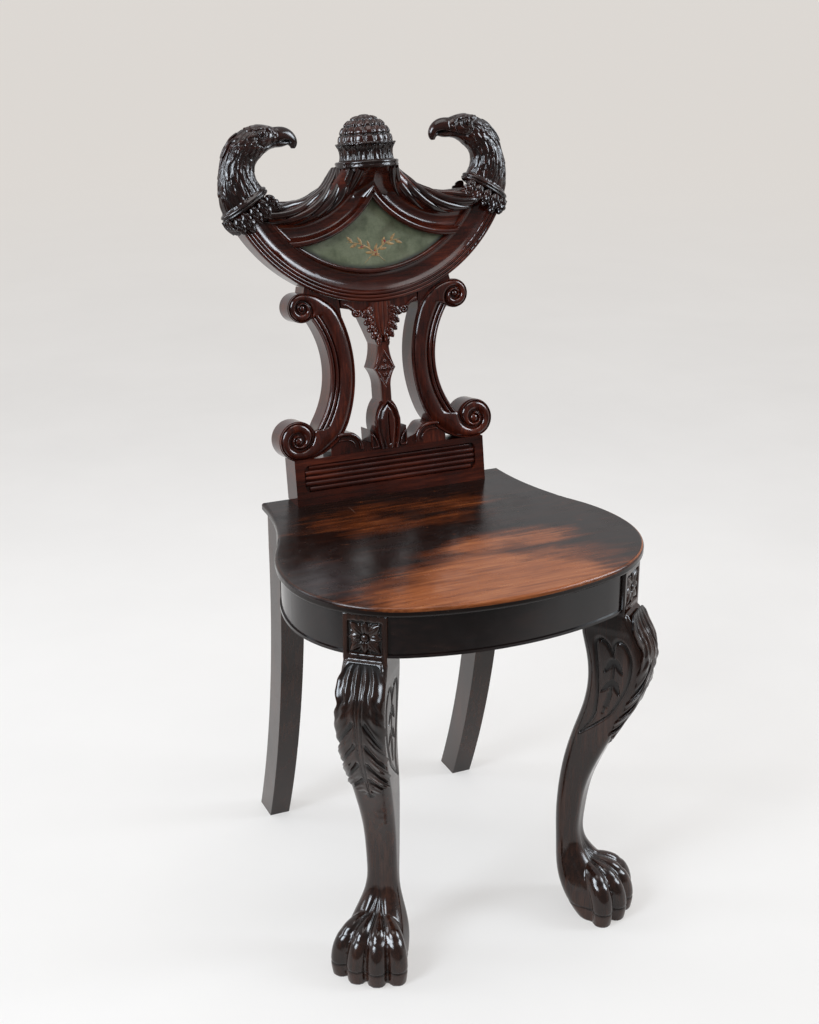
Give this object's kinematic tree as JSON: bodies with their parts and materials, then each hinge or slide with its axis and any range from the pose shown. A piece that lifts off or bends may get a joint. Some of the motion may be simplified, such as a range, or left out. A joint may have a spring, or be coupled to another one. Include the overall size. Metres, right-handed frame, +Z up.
{
  "type": "hall chair",
  "caption": "Carved mahogany hall chair: bell-shaped seat, scroll uprights, crescent crest with eagle heads and painted tablet, cabriole front legs on paw feet, sabre rear legs.",
  "frame": {"origin": "on the floor, on the chair's centre line, half way between the front edge of the seat and the heels of the rear legs", "axes": "+Z up, -Y out of the front of the seat, +X to the right as seen from the front"},
  "size_m": [0.404, 0.4329, 0.8622],
  "materials": {
    "seat_mahogany": "worn wax polish",
    "frame_mahogany": "dark french polish",
    "leg_mahogany": "dark french polish over carving",
    "back_mahogany": "dark french polish over carving",
    "softwood": "bare sawn softwood",
    "dowel_beech": "bare turned beech",
    "tablet_paint": "aged oil paint on mahogany",
    "screw_steel": "plain dull steel"
  },
  "bodies": {
    "root": {"seat_board": "seat_mahogany", "front_rail": "frame_mahogany", "side_rail_left": "frame_mahogany", "side_rail_right": "frame_mahogany", "rear_rail": "frame_mahogany", "front_leg_left": "leg_mahogany", "front_leg_right": "leg_mahogany", "rear_leg_left": "frame_mahogany", "rear_leg_right": "frame_mahogany", "corner_block_front_left": "softwood", "corner_block_front_right": "softwood", "corner_block_rear_left": "softwood", "corner_block_rear_right": "softwood", "corner_block_screws": "screw_steel", "seat_screws": "screw_steel", "back_dowels": "dowel_beech", "plinth_rail": "back_mahogany", "scroll_upright_left": "back_mahogany", "scroll_upright_right": "back_mahogany", "scroll_dowels": "dowel_beech", "splat": "back_mahogany", "crest_board": "back_mahogany", "painted_tablet": "tablet_paint", "finial": "back_mahogany", "eagle_head_left": "back_mahogany", "eagle_head_right": "back_mahogany", "crest_dowels": "dowel_beech"}
  },
  "joints": []
}
